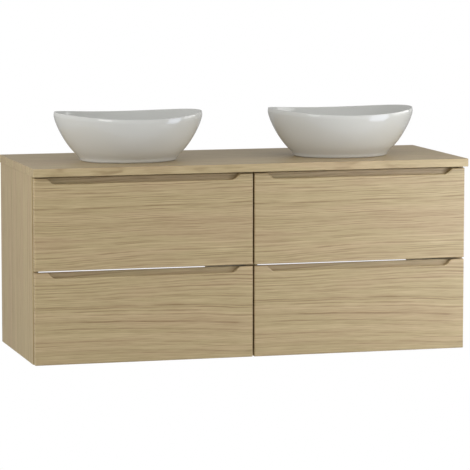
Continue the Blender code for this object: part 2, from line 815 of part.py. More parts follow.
# ---------------------------------------------------------------- assembly
def main():
    """Build every piece of the vanity."""
    clear_scene()
    group = new_collection(COLLECTION)
    cutters = new_collection(CUTTERS)
    finishes = make_finishes()
    make_worktop(group, cutters, finishes)
    for side, centre in CABINET_CENTRES.items():
        make_basin("basin_" + side, centre, group, finishes)
        make_waste(side, centre, group, finishes)
        make_trap(side, centre, group, cutters, finishes)
        make_carcass(side, centre, group, cutters, finishes)
        for level in DRAWER_BASE_Z:
            make_drawer(level, side, centre, group, cutters, finishes)
            for hand in ("left", "right"):
                make_fixed_runner(side, level, hand, centre, group, finishes)


main()
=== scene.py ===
"""The looks of a wall-hung double vanity: oak cabinets and worktop, two oval ceramic basins.

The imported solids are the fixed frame. The basins, drawer fronts, wastes, plugs, nuts, traps and
outlet pipes are rebuilt here as finer meshes in the same places; the boards, rails, runners and
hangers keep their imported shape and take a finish. Everything is in metres, X along the width,
Y towards the wall, Z up.
"""
import logging
import math
from collections.abc import Callable, Sequence
from dataclasses import dataclass, field
from enum import Enum

import bmesh
import bpy
from mathutils import Matrix, Vector


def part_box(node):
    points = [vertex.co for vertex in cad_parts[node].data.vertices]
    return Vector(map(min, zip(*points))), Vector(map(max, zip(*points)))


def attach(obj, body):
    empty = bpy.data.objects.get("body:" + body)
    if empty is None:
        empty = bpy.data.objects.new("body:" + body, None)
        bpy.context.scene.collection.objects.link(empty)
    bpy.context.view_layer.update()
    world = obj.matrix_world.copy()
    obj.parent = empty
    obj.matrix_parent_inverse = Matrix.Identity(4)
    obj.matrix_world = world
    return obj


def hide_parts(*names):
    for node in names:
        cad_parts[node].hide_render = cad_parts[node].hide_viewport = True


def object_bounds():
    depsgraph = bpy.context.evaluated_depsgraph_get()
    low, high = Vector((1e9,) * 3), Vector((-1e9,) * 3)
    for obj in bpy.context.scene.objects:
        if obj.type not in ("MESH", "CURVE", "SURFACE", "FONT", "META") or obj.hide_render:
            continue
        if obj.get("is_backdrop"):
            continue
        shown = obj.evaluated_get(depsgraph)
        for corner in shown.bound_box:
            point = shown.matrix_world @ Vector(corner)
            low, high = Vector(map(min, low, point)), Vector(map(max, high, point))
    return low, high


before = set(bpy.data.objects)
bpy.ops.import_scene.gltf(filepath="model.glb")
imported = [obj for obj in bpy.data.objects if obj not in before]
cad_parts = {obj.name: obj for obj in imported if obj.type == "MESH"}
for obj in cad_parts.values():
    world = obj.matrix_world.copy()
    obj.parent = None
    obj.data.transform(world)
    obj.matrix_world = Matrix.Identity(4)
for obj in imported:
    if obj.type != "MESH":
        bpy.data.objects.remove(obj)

LOG = logging.getLogger("vanity")

SIDES = ("left", "right")
LEVELS = ("lower", "upper")
CARCASS_BODY = "cabinet"
# Which stretch of the oak figure each level's fronts show.
FRONT_FIGURE = {"upper": (0.9, 0.35, 0.0), "lower": (4.2, 1.45, 0.6)}

Spot = tuple[float, float]
Point = tuple[float, float, float]
Colour = tuple[float, float, float]


# ---------------------------------------------------------------- small helpers
def srgb(red: int, green: int, blue: int) -> Colour:
    """Turn 0-255 display values into linear light.

    Args:
        red: the red value.
        green: the green value.
        blue: the blue value.

    Returns:
        The three linear values, each from 0 to 1.
    """

    def linear(value: int) -> float:
        """Undo the display curve of one channel."""
        share = value / 255.0
        return share / 12.92 if share <= 0.04045 else ((share + 0.055) / 1.055) ** 2.4

    return linear(red), linear(green), linear(blue)


def box_of(node: str) -> tuple[Vector, Vector]:
    """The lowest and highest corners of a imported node, as vectors."""
    low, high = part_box(node)
    return Vector(low), Vector(high)


def install(piece: bpy.types.Object, finish: "Finish", node: str, body: str) -> None:
    """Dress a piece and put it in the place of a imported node.

    Args:
        piece: the new piece.
        finish: its finish.
        node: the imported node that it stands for.
        body: the body that it moves with.
    """
    piece.data.materials.append(finish.material())
    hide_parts(node)
    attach(piece, body)
    LOG.info("%s in place of %s", piece.name, node)


# ---------------------------------------------------------------- shader wiring
class Wiring:
    """A thin layer over a node tree, so that a shader reads as a list of steps."""

    def __init__(self, tree: bpy.types.NodeTree) -> None:
        """Keep the tree that nodes go into."""
        self.tree = tree

    def node(self, kind: str, **settings: object) -> bpy.types.Node:
        """Add a node and set its properties.

        Args:
            kind: the node's type name, such as ShaderNodeMath.
            settings: properties of the node by name.

        Returns:
            The new node.
        """
        made = self.tree.nodes.new(kind)
        for name, value in settings.items():
            setattr(made, name, value)
        return made

    def feed(self, target: bpy.types.NodeSocket, source: object) -> None:
        """Link a socket to an input, or store a constant on it.

        Args:
            target: the input socket.
            source: a socket or a constant.
        """
        if isinstance(source, bpy.types.NodeSocket):
            self.tree.links.new(source, target)
        else:
            target.default_value = source

    def maths(self, operation: str, first: object, second: object = 0.0) -> bpy.types.NodeSocket:
        """One Math node on two inputs.

        Args:
            operation: the operation's name.
            first: a socket or a number.
            second: a socket or a number.

        Returns:
            The result socket.
        """
        made = self.node("ShaderNodeMath", operation=operation)
        self.feed(made.inputs[0], first)
        self.feed(made.inputs[1], second)
        return made.outputs[0]

    def span(
        self, value: object, low: float, high: float, to_low: float, to_high: float
    ) -> bpy.types.NodeSocket:
        """A smooth Map Range from one span of values to another.

        Args:
            value: the socket that is mapped.
            low: where the input span starts.
            high: where the input span ends.
            to_low: the result at its start.
            to_high: the result at its end.

        Returns:
            The result socket.
        """
        made = self.node("ShaderNodeMapRange", interpolation_type="SMOOTHSTEP")
        for slot, source in enumerate((value, low, high, to_low, to_high)):
            self.feed(made.inputs[slot], source)
        return made.outputs[0]

    def stretched(self, vector: object, scale: Point) -> bpy.types.NodeSocket:
        """Scale a vector by three constants, so that a noise runs out along the grain.

        Args:
            vector: the vector socket.
            scale: the three factors.

        Returns:
            The scaled vector socket.
        """
        made = self.node("ShaderNodeVectorMath", operation="MULTIPLY")
        self.feed(made.inputs[0], vector)
        made.inputs[1].default_value = scale
        return made.outputs[0]

    def noise(
        self, vector: object, scale: float, detail: float, roughness: float = 0.5
    ) -> bpy.types.NodeSocket:
        """A three-dimensional noise value.

        Args:
            vector: where the noise is read.
            scale: how many cells there are to a unit.
            detail: how many finer layers are added.
            roughness: how strong each finer layer is.

        Returns:
            The noise value, around 0.5.
        """
        made = self.node("ShaderNodeTexNoise", noise_dimensions="3D")
        self.feed(made.inputs["Vector"], vector)
        made.inputs["Scale"].default_value = scale
        made.inputs["Detail"].default_value = detail
        made.inputs["Roughness"].default_value = roughness
        return made.outputs["Fac"]

    def noise_line(self, value: object, scale: float, detail: float) -> bpy.types.NodeSocket:
        """A one-dimensional noise along a value, for bands of uneven width.

        Args:
            value: where the noise is read.
            scale: how many cells there are to a unit.
            detail: how many finer layers are added.

        Returns:
            The noise value, around 0.5.
        """
        made = self.node("ShaderNodeTexNoise", noise_dimensions="1D")
        self.feed(made.inputs["W"], value)
        made.inputs["Scale"].default_value = scale
        made.inputs["Detail"].default_value = detail
        return made.outputs["Fac"]

    def blend(self, share: object, first: object, second: object) -> bpy.types.NodeSocket:
        """Mix two colours.

        Args:
            share: how much of the second there is.
            first: a colour socket or a linear colour.
            second: a colour socket or a linear colour.

        Returns:
            The mixed colour socket.
        """
        made = self.node("ShaderNodeMix", data_type="RGBA")
        self.feed(made.inputs["Factor"], share)
        for slot, source in ((6, first), (7, second)):
            value = (*source, 1.0) if isinstance(source, tuple) else source
            self.feed(made.inputs[slot], value)
        return made.outputs[2]


class EffectGroup:
    """A node group with named inputs and outputs, built once and shared by finishes."""

    name = "effect"
    inputs: tuple[tuple[str, str, float], ...] = ()
    outputs: tuple[tuple[str, str], ...] = ()

    @classmethod
    def tree(cls) -> bpy.types.NodeTree:
        """The group's tree, made the first time it is asked for.

        Returns:
            The tree.
        """
        made = bpy.data.node_groups.get(cls.name)
        if made is None:
            made = bpy.data.node_groups.new(cls.name, "ShaderNodeTree")
            for label, kind, default in cls.inputs:
                socket = made.interface.new_socket(label, in_out="INPUT", socket_type=kind)
                if kind == "NodeSocketFloat":
                    socket.default_value = default
            for label, kind in cls.outputs:
                made.interface.new_socket(label, in_out="OUTPUT", socket_type=kind)
            entry = made.nodes.new("NodeGroupInput")
            leave = made.nodes.new("NodeGroupOutput")
            cls.build(Wiring(made), entry.outputs, leave.inputs)
        return made

    @classmethod
    def build(cls, wires: Wiring, given: bpy.types.NodeOutputs, results: bpy.types.NodeInputs) -> None:
        """Wire the group's inside.

        Args:
            wires: the tree to build in.
            given: the group's input values.
            results: the sockets that the group's outputs read.
        """
        raise NotImplementedError

    @classmethod
    def use(cls, wires: Wiring, **values: object) -> bpy.types.NodeOutputs:
        """Place the group in a material.

        Args:
            wires: the material's tree.
            values: sockets or constants for the inputs, spaces in names written as underscores.

        Returns:
            The placed group's outputs.
        """
        made = wires.node("ShaderNodeGroup", node_tree=cls.tree())
        for label, source in values.items():
            wires.feed(made.inputs[label.replace("_", " ")], source)
        return made.outputs


class OakFigure(EffectGroup):
    """Plain-sawn oak: fine growth lines with slack arches, broken fibres, patches and open pores.

    The vector's X runs along the grain and its Y across it, in metres.
    """

    name = "oak_figure"
    inputs = (
        ("Vector", "NodeSocketVector", 0.0),
        ("Arching", "NodeSocketFloat", 0.05),
        ("Line Contrast", "NodeSocketFloat", 1.0),
    )
    outputs = (("Tone", "NodeSocketFloat"), ("Patch", "NodeSocketFloat"), ("Relief", "NodeSocketFloat"))
    # Cells to a metre along the grain and, twice, across it.
    arch_cells = (2.1, 3.4, 3.4)
    broad_cells = (6.0, 13.0, 13.0)
    fine_cells = (24.0, 75.0, 75.0)
    gap_cells = (8.0, 130.0, 130.0)
    fibre_cells = (13.0, 460.0, 460.0)
    pore_cells = (48.0, 1500.0, 1500.0)
    patch_cells = (2.6, 24.0, 24.0)
    # How far the slow and the quick sway move a growth line, in metres.
    broad_reach = 0.0075
    fine_reach = 0.0016
    # Growth lines and wide bands to a metre across the grain.
    lines_per_metre = 205.0
    bands_per_metre = 46.0
    # Each part's weight in the tone, the tone with none of them, and the line level left out of it.
    line_weight = 0.56
    band_weight = 0.42
    fibre_weight = 1.05
    pore_weight = 0.16
    middle_tone = 0.62
    line_middle = 0.74
    fibre_relief = 0.35

    @classmethod
    def build(cls, wires: Wiring, given: bpy.types.NodeOutputs, results: bpy.types.NodeInputs) -> None:
        """Wire the lines, fibres, pores and patches.

        Args:
            wires: the group's tree.
            given: the group's input values.
            results: the sockets that the group's outputs read.
        """
        vector = given["Vector"]
        split = wires.node("ShaderNodeSeparateXYZ")
        wires.feed(split.inputs[0], vector)

        def swing(scale: Point, detail: float, reach: object) -> bpy.types.NodeSocket:
            """A noise centred on zero, times a reach."""
            value = wires.noise(wires.stretched(vector, scale), 1.0, detail)
            return wires.maths("MULTIPLY", wires.maths("SUBTRACT", value, 0.5), reach)

        arch = swing(cls.arch_cells, 0.0, given["Arching"])
        broad_sway = swing(cls.broad_cells, 1.0, cls.broad_reach)
        fine_sway = swing(cls.fine_cells, 1.0, cls.fine_reach)
        sway = wires.maths("ADD", broad_sway, fine_sway)
        ring = wires.maths("ADD", split.outputs["Y"], wires.maths("ADD", arch, sway))
        growth = wires.span(wires.noise_line(ring, cls.lines_per_metre, 2.0), 0.36, 0.56, 0.0, 1.0)
        gaps = wires.noise(wires.stretched(vector, cls.gap_cells), 1.0, 2.0)
        breaks = wires.span(gaps, 0.38, 0.62, 0.10, 1.0)
        lines = wires.maths("MULTIPLY", wires.maths("SUBTRACT", growth, cls.line_middle), breaks)
        bands = wires.maths("SUBTRACT", wires.noise_line(ring, cls.bands_per_metre, 1.0), 0.5)
        fibre = wires.noise(wires.stretched(vector, cls.fibre_cells), 1.0, 3.0, 0.6)
        fibres = wires.maths("SUBTRACT", fibre, 0.5)
        pore = wires.noise(wires.stretched(vector, cls.pore_cells), 1.0, 1.0)
        in_early_wood = wires.span(growth, 0.0, 0.8, 1.0, 0.3)
        pores = wires.maths("MULTIPLY", wires.span(pore, 0.58, 0.70, 0.0, 1.0), in_early_wood)
        contrast = wires.maths("MULTIPLY", given["Line Contrast"], cls.line_weight)
        tone = wires.maths("MULTIPLY", lines, contrast)
        tone = wires.maths("ADD", tone, wires.maths("MULTIPLY", bands, cls.band_weight))
        tone = wires.maths("ADD", tone, wires.maths("MULTIPLY", fibres, cls.fibre_weight))
        tone = wires.maths("ADD", tone, cls.middle_tone)
        tone = wires.maths("SUBTRACT", tone, wires.maths("MULTIPLY", pores, cls.pore_weight))
        wires.feed(results["Tone"], wires.maths("MINIMUM", wires.maths("MAXIMUM", tone, 0.0), 1.0))
        wires.feed(results["Patch"], wires.noise(wires.stretched(vector, cls.patch_cells), 1.0, 2.0))
        raised = wires.maths("MULTIPLY", fibre, cls.fibre_relief)
        wires.feed(results["Relief"], wires.maths("SUBTRACT", raised, pores))


class SurfaceDrift(EffectGroup):
    """Slow uneven change and fine grain over a made surface, for roughness, tone and relief."""

    name = "surface_drift"
    inputs = (
        ("Vector", "NodeSocketVector", 0.0),
        ("Broad", "NodeSocketFloat", 6.0),
        ("Fine", "NodeSocketFloat", 400.0),
    )
    outputs = (("Broad", "NodeSocketFloat"), ("Fine", "NodeSocketFloat"))

    @classmethod
    def build(cls, wires: Wiring, given: bpy.types.NodeOutputs, results: bpy.types.NodeInputs) -> None:
        """Wire the two noises, each read at its own density.

        Args:
            wires: the group's tree.
            given: the group's input values.
            results: the sockets that the group's outputs read.
        """
        for label in ("Broad", "Fine"):
            made = wires.node("ShaderNodeTexNoise", noise_dimensions="3D")
            wires.feed(made.inputs["Vector"], given["Vector"])
            wires.feed(made.inputs["Scale"], given[label])
            made.inputs["Detail"].default_value = 3.0
            wires.feed(results[label], made.outputs["Fac"])


# ---------------------------------------------------------------- finishes
class Grain(Enum):
    """Which way the oak's grain runs, as the order in which X, Y and Z are read."""

    ALONG_WIDTH_ON_FRONT = ("X", "Z", "Y")
    ALONG_WIDTH_ON_TOP = ("X", "Y", "Z")
    UPRIGHT_ON_SIDE = ("Z", "Y", "X")


@dataclass(frozen=True)
class Finish:
    """A finish: a name and a way to fill a new material's tree."""

    name: str

    def material(self) -> bpy.types.Material:
        """The finish's material, made once and then reused.

        Returns:
            The material.
        """
        made = bpy.data.materials.get(self.name)
        if made is None:
            made = bpy.data.materials.new(self.name)
            made.use_nodes = True
            shader = made.node_tree.nodes["Principled BSDF"]
            wires = Wiring(made.node_tree)
            place = wires.node("ShaderNodeTexCoord").outputs["Object"]
            self.fill(wires, shader, place)
        return made

    def fill(self, wires: Wiring, shader: bpy.types.Node, place: bpy.types.NodeSocket) -> None:
        """Wire the material.

        Args:
            wires: the material's tree.
            shader: its Principled BSDF.
            place: the point on the object, in metres.
        """
        raise NotImplementedError

    @staticmethod
    def relief(
        wires: Wiring, shader: bpy.types.Node, height: bpy.types.NodeSocket, depth: float
    ) -> None:
        """Feed a height through a Bump node into the shader's normal.

        Args:
            wires: the material's tree.
            shader: its Principled BSDF.
            height: the height value.
            depth: the height of a value of 1, in metres.
        """
        bump = wires.node("ShaderNodeBump")
        bump.inputs["Strength"].default_value = 1.0
        bump.inputs["Distance"].default_value = depth
        wires.feed(bump.inputs["Height"], height)
        wires.feed(shader.inputs["Normal"], bump.outputs["Normal"])


@dataclass(frozen=True)
class OakFinish(Finish):
    """Light oak decor laminate, satin, with a printed figure and a faint embossed pore."""

    grain: Grain = Grain.ALONG_WIDTH_ON_FRONT
    shift: Point = (0.0, 0.0, 0.0)
    arching: float = 0.055
    contrast: float = 1.0
    dark: Colour = srgb(139, 116, 77)
    light: Colour = srgb(200, 182, 141)
    rosy_dark: Colour = srgb(141, 115, 79)
    rosy_light: Colour = srgb(199, 178, 140)
    patches: Spot = (0.40, 0.62)
    roughness: Spot = (0.46, 0.40)
    specular: float = 0.65
    pore_depth: float = 0.00005

    def fill(self, wires: Wiring, shader: bpy.types.Node, place: bpy.types.NodeSocket) -> None:
        """Read the figure along this board's grain and colour it.

        Args:
            wires: the material's tree.
            shader: its Principled BSDF.
            place: the point on the object, in metres.
        """
        split = wires.node("ShaderNodeSeparateXYZ")
        wires.feed(split.inputs[0], place)
        joined = wires.node("ShaderNodeCombineXYZ")
        for slot, axis in enumerate(self.grain.value):
            moved = wires.maths("ADD", split.outputs[axis], self.shift[slot])
            wires.feed(joined.inputs[slot], moved)
        figure = OakFigure.use(
            wires, Vector=joined.outputs[0], Arching=self.arching, Line_Contrast=self.contrast
        )
        straw = wires.blend(figure["Tone"], self.dark, self.light)
        rosy = wires.blend(figure["Tone"], self.rosy_dark, self.rosy_light)
        patch = wires.span(figure["Patch"], *self.patches, 0.0, 1.0)
        wires.feed(shader.inputs["Base Color"], wires.blend(patch, straw, rosy))
        dull, bright = self.roughness
        wires.feed(shader.inputs["Roughness"], wires.span(figure["Tone"], 0.0, 1.0, dull, bright))
        shader.inputs["Specular IOR Level"].default_value = self.specular
        self.relief(wires, shader, figure["Relief"], self.pore_depth)


@dataclass(frozen=True)
class DriftFinish(Finish):
    """A made surface: a tone that drifts slowly, and a gloss and relief that break up finely."""

    colour: Colour = srgb(226, 226, 223)
    shade: Colour = srgb(216, 216, 212)
    gloss: Spot = (0.35, 0.5)
    broad: float = 14.0
    fine: float = 1200.0
    depth: float = 0.00003

    def fill(self, wires: Wiring, shader: bpy.types.Node, place: bpy.types.NodeSocket) -> None:
        """Drift the tone slowly and break the gloss up finely.

        Args:
            wires: the material's tree.
            shader: its Principled BSDF.
            place: the point on the object, in metres.
        """
        drift = SurfaceDrift.use(wires, Vector=place, Broad=self.broad, Fine=self.fine)
        wires.feed(shader.inputs["Base Color"], wires.blend(drift["Broad"], self.colour, self.shade))
        smooth, rough = self.gloss
        wires.feed(shader.inputs["Roughness"], wires.span(drift["Fine"], 0.3, 0.7, smooth, rough))
        self.relief(wires, shader, drift["Fine"], self.depth)


@dataclass(frozen=True)
class CeramicFinish(DriftFinish):
    """White glazed sanitary ceramic: a smooth hard gloss with a very slight waviness."""

    colour: Colour = srgb(210, 210, 206)
    shade: Colour = srgb(206, 207, 204)
    gloss: Spot = (0.05, 0.09)
    broad: float = 9.0
    fine: float = 60.0
    index: float = 1.52
    coat: float = 0.25
    coat_roughness: float = 0.03

    def fill(self, wires: Wiring, shader: bpy.types.Node, place: bpy.types.NodeSocket) -> None:
        """Lay the glaze over the body.

        Args:
            wires: the material's tree.
            shader: its Principled BSDF.
            place: the point on the object, in metres.
        """
        super().fill(wires, shader, place)
        shader.inputs["IOR"].default_value = self.index
        shader.inputs["Coat Weight"].default_value = self.coat
        shader.inputs["Coat Roughness"].default_value = self.coat_roughness


@dataclass(frozen=True)
class MetalFinish(DriftFinish):
    """A metal: polished, zinc plated or powder coated, by its colour and roughness."""

    colour: Colour = srgb(200, 200, 204)
    shade: Colour = srgb(180, 181, 186)
    gloss: Spot = (0.08, 0.14)
    broad: float = 20.0
    fine: float = 900.0
    depth: float = 0.00001
    metallic: float = 1.0

    def fill(self, wires: Wiring, shader: bpy.types.Node, place: bpy.types.NodeSocket) -> None:
        """Make the surface as metallic as the finish says.

        Args:
            wires: the material's tree.
            shader: its Principled BSDF.
            place: the point on the object, in metres.
        """
        super().fill(wires, shader, place)
        shader.inputs["Metallic"].default_value = self.metallic


CERAMIC = CeramicFinish("white_glaze")
CHROME = MetalFinish("polished_chrome")
ZINC = MetalFinish(
    "zinc_plate",
    colour=srgb(176, 178, 180),
    shade=srgb(150, 152, 156),
    gloss=(0.28, 0.44),
    broad=60.0,
    fine=1400.0,
)
POWDER_COAT = MetalFinish(
    "grey_powder_coat",
    colour=srgb(150, 152, 154),
    shade=srgb(143, 145, 147),
    gloss=(0.42, 0.55),
    metallic=0.0,
)
MELAMINE = DriftFinish(
    "grey_melamine", colour=srgb(206, 205, 202), shade=srgb(198, 197, 194), gloss=(0.45, 0.6)
)
PLASTIC = DriftFinish("white_moulding")


# ---------------------------------------------------------------- mesh making
class Loft:
    """A closed mesh through loops of equal length."""

    def __init__(self, name: str, loops: Sequence[Sequence[Point]], capped: bool) -> None:
        """Keep the loops.

        Args:
            name: the piece's name.
            loops: the loops in order, each with the same number of points.
            capped: True to close the first and last loop with faces, False to join them.
        """
        self.name = name
        self.loops = loops
        self.capped = capped

    def build(self, sharp_loops: Sequence[int] = (), smooth_angle: float = 40.0) -> bpy.types.Object:
        """Make the object.

        Args:
            sharp_loops: loops whose edges stay crisp in shading.
            smooth_angle: faces that meet at more degrees than this stay crisp.

        Returns:
            The new object, its points in the object's own frame.
        """
        work = bmesh.new()
        rows = [[work.verts.new(point) for point in loop] for loop in self.loops]
        count = len(rows[0])
        last = len(rows) if not self.capped else len(rows) - 1
        for k in range(last):
            row, above = rows[k], rows[(k + 1) % len(rows)]
            for j in range(count):
                after = (j + 1) % count
                work.faces.new((row[j], row[after], above[after], above[j]))
        if self.capped:
            work.faces.new(list(reversed(rows[0])))
            work.faces.new(rows[-1])
        bmesh.ops.recalc_face_normals(work, faces=work.faces)
        crisp = {(rows[k][j], rows[k][(j + 1) % count]) for k in sharp_loops for j in range(count)}
        for edge in work.edges:
            first, second = edge.verts
            if (first, second) in crisp or (second, first) in crisp:
                edge.smooth = False
            elif len(edge.link_faces) == 2 and edge.calc_face_angle(0.0) > math.radians(smooth_angle):
                edge.smooth = False
        for face in work.faces:
            face.smooth = True
        return MeshPiece.from_bmesh(self.name, work)


class MeshPiece:
    """Ways to turn bmesh data into a linked object."""

    @staticmethod
    def from_bmesh(name: str, work: bmesh.types.BMesh) -> bpy.types.Object:
        """Write a bmesh to a new linked object, and free it.

        Args:
            name: the object's name.
            work: the mesh data.

        Returns:
            The new object.
        """
        shape = bpy.data.meshes.new(name)
        work.to_mesh(shape)
        work.free()
        item = bpy.data.objects.new(name, shape)
        bpy.context.scene.collection.objects.link(item)
        return item


class Turned:
    """A solid of revolution about an axis of its own."""

    def __init__(self, name: str, profile: Sequence[Spot], closed: bool) -> None:
        """Keep the profile.

        Args:
            name: the piece's name.
            profile: (radius, height) points; a radius of 0 is on the axis.
            closed: True when the last point joins the first, as in a tube.
        """
        self.name = name
        self.profile = profile
        self.closed = closed

    def build(
        self,
        place: Matrix,
        segments: int = 64,
        wave: Callable[[float, float], float] | None = None,
        smooth_angle: float = 32.0,
    ) -> bpy.types.Object:
        """Make the object.

        Args:
            place: where the profile's own axis and origin go.
            segments: steps round the axis.
            wave: the radius at an angle, for the radius that the profile gives, as in flutes.
            smooth_angle: faces that meet at more degrees than this stay crisp.

        Returns:
            The new object.
        """
        work = bmesh.new()
        rows = []
        for radius, height in self.profile:
            if radius <= 0.0:
                rows.append([work.verts.new(place @ Vector((0.0, 0.0, height)))])
                continue
            row = []
            for j in range(segments):
                angle = 2.0 * math.pi * j / segments
                reach = wave(angle, radius) if wave else radius
                spot = Vector((reach * math.cos(angle), reach * math.sin(angle), height))
                row.append(work.verts.new(place @ spot))
            rows.append(row)
        pairs = list(zip(rows, rows[1:]))
        if self.closed:
            pairs.append((rows[-1], rows[0]))
        for first, second in pairs:
            for j in range(segments):
                after = (j + 1) % segments
                corners = []
                for row, spots in ((first, (j, after)), (second, (after, j))):
                    corners += [row[0]] if len(row) == 1 else [row[spot] for spot in spots]
                work.faces.new(corners)
        bmesh.ops.recalc_face_normals(work, faces=work.faces)
        for edge in work.edges:
            if edge.calc_face_angle(0.0) > math.radians(smooth_angle):
                edge.smooth = False
        for face in work.faces:
            face.smooth = True
        return MeshPiece.from_bmesh(self.name, work)


def rounded_profile(
    points: Sequence[Spot], radius: float, steps: int = 3, most: float = 0.45
) -> list[Spot]:
    """Round every corner of an outline, leaving its first and last point.

    Args:
        points: the outline.
        radius: the largest rounding; short edges take less.
        steps: points added at each corner.
        most: the share of an edge that one corner's rounding may take.

    Returns:
        The rounded outline.
    """
    result = [points[0]]
    for before, corner, after in zip(points, points[1:], points[2:]):
        middle = Vector(corner)
        back = Vector(before) - middle
        ahead = Vector(after) - middle
        reach = min(radius, back.length * most, ahead.length * most)
        start = middle + back.normalized() * reach
        end = middle + ahead.normalized() * reach
        for k in range(steps + 1):
            share = k / steps
            spot = start * (1 - share) ** 2 + middle * (2 * share * (1 - share)) + end * share**2
            result.append((spot.x, spot.y))
    result.append(points[-1])
    return result


# ---------------------------------------------------------------- basins
@dataclass
class VesselBasin:
    """One oval vessel basin: a low foot, a flared wall, a shoulder and a crisp boat-shaped rim."""

    side: str
    foot_height: float = 0.0094
    foot_blend: float = 0.0040
    foot_rounding: float = 0.0030
    outer_bulge: Spot = (1.36, 1.31)
    inner_bulge: Spot = (1.40, 1.60)
    rim_dip: float = 0.012
    foot: Spot = (0.130, 0.106)
    floor: Spot = (0.112, 0.088)
    floor_height: float = 0.018
    shoulder_height: float = 0.010
    shoulder_radius: float = 0.058
    rim_edge: float = 0.0011
    drain_recess: float = 0.036
    drain_hole: float = 0.023
    drain_fall: float = 0.003
    recess_depth: float = 0.0025
    recess_edge: float = 0.001
    recess_break: float = 0.0003
    wall_gather: float = 1.35
    inner_gather: float = 1.6
    fall_gather: float = 1.5
    edge_end: float = 172.0
    segments: int = 176

    def __post_init__(self) -> None:
        """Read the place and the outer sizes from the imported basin."""
        low, high = box_of("basin_" + self.side)
        self.centre = Vector(((low.x + high.x) / 2.0, (low.y + high.y) / 2.0, low.z))
        self.rim = ((high.x - low.x) / 2.0, (high.y - low.y) / 2.0)
        self.height = high.z - low.z
        self.shoulder_turn = math.asin(self.shoulder_height / self.shoulder_radius)

    @staticmethod
    def opened(share: float, bulge: Spot) -> float:
        """How far the wall has opened at a share of its height, from 0 to 1."""
        rise, spread = bulge
        return (1.0 - (1.0 - min(share, 1.0)) ** rise) ** (1.0 / spread)

    def rim_level(self, angle: float) -> float:
        """The rim's height above the foot's underside, highest at the two ends."""
        return self.height - self.rim_dip * math.sin(angle) ** 2

    def ring(self, half_x: float, half_y: float, level: Callable[[float], float]) -> list[Point]:
        """One loop round the basin.

        Args:
            half_x: half its length.
            half_y: half its width.
            level: its height above the foot's underside at an angle.

        Returns:
            The loop's points.
        """
        points = []
        for k in range(self.segments):
            angle = 2.0 * math.pi * k / self.segments
            spot = Vector((half_x * math.cos(angle), half_y * math.sin(angle), level(angle)))
            points.append(tuple(self.centre + spot))
        return points

    def flat(self, half_x: float, half_y: float, level: float) -> list[Point]:
        """A level loop."""
        return self.ring(half_x, half_y, lambda angle: level)

    def wall_ring(self, share: float, start: float, end_drop: float, reach: Spot) -> list[Point]:
        """A loop of a wall whose height is a share of the way from a level up to the rim.

        Args:
            share: the share of the way; negative below the start.
            start: the level where the wall starts.
            end_drop: how far below the rim it ends.
            reach: half its length and half its width.

        Returns:
            The loop's points.
        """

        def level(angle: float) -> float:
            """The loop's height, which follows the boat-shaped rim above the start."""
            full = self.rim_level(angle) - end_drop - start
            return start + share * (full if share > 0.0 else self.height)

        return self.ring(reach[0], reach[1], level)

    def outside(self, steps: int = 44, foot_steps: int = 5) -> list[list[Point]]:
        """The foot's underside, the foot, its soft blend into the wall, and the wall.

        Args:
            steps: steps up the wall.
            foot_steps: steps in the foot's rounding.

        Returns:
            The loops, from the drain hole out and up to the shoulder.
        """
        edge = self.foot_rounding
        foot_x, foot_y = self.foot
        span = self.height - self.shoulder_height - self.foot_height
        loops = [self.flat(self.drain_hole, self.drain_hole, 0.0)]
        for k in range(foot_steps):
            turn = math.pi / 2.0 * k / foot_steps
            inset = edge * (1.0 - math.sin(turn))
            loops.append(self.flat(foot_x - inset, foot_y - inset, edge * (1.0 - math.cos(turn))))
        first = (edge - self.foot_height) / span
        for k in range(steps + 1):
            rise = first + (1.0 - first) * (k / steps) ** self.wall_gather
            blend = self.foot_blend / span
            softened = blend * math.log1p(math.exp(rise / blend)) if rise / blend < 30.0 else rise
            spread = self.opened(softened, self.outer_bulge)
            reach = (foot_x + (self.rim[0] - foot_x) * spread, foot_y + (self.rim[1] - foot_y) * spread)
            if rise > 0.0:
                loops.append(self.wall_ring(rise, self.foot_height, self.shoulder_height, reach))
            else:
                loops.append(self.flat(*reach, self.foot_height + rise * span))
        return loops

    def rim_loop(self, inset: float, lift: float) -> list[Point]:
        """A loop near the rim, drawn in by an inset and lifted relative to it.

        Args:
            inset: how far the loop is drawn in.
            lift: its height above the rim; negative below it.

        Returns:
            The loop's points.
        """
        return self.ring(
            self.rim[0] - inset,
            self.rim[1] - inset,
            lambda angle: self.rim_level(angle) + lift,
        )

    def rim_top(self, steps: int = 14, edge_steps: int = 8) -> list[list[Point]]:
        """The shoulder that leans in towards the rim, and the rim's small edge.

        Args:
            steps: steps up the shoulder.
            edge_steps: steps over the edge.

        Returns:
            The loops, from the shoulder's start to the inner side of the rim.
        """
        loops = []
        big, small = self.shoulder_radius, self.rim_edge
        sink = small * (1.0 - math.sin(self.shoulder_turn))
        for k in range(1, steps + 1):
            turn = self.shoulder_turn * k / steps
            inset = big * (1.0 - math.cos(turn))
            lift = big * math.sin(turn) - self.shoulder_height - sink * k / steps
            loops.append(self.rim_loop(inset, lift))
        middle = big * (1.0 - math.cos(self.shoulder_turn)) + small * math.cos(self.shoulder_turn)
        over = math.radians(self.edge_end)
        for k in range(1, edge_steps + 1):
            turn = self.shoulder_turn + (over - self.shoulder_turn) * k / edge_steps
            loops.append(self.rim_loop(middle - small * math.cos(turn), small * (math.sin(turn) - 1.0)))
        self.inner_inset = middle + small
        return loops

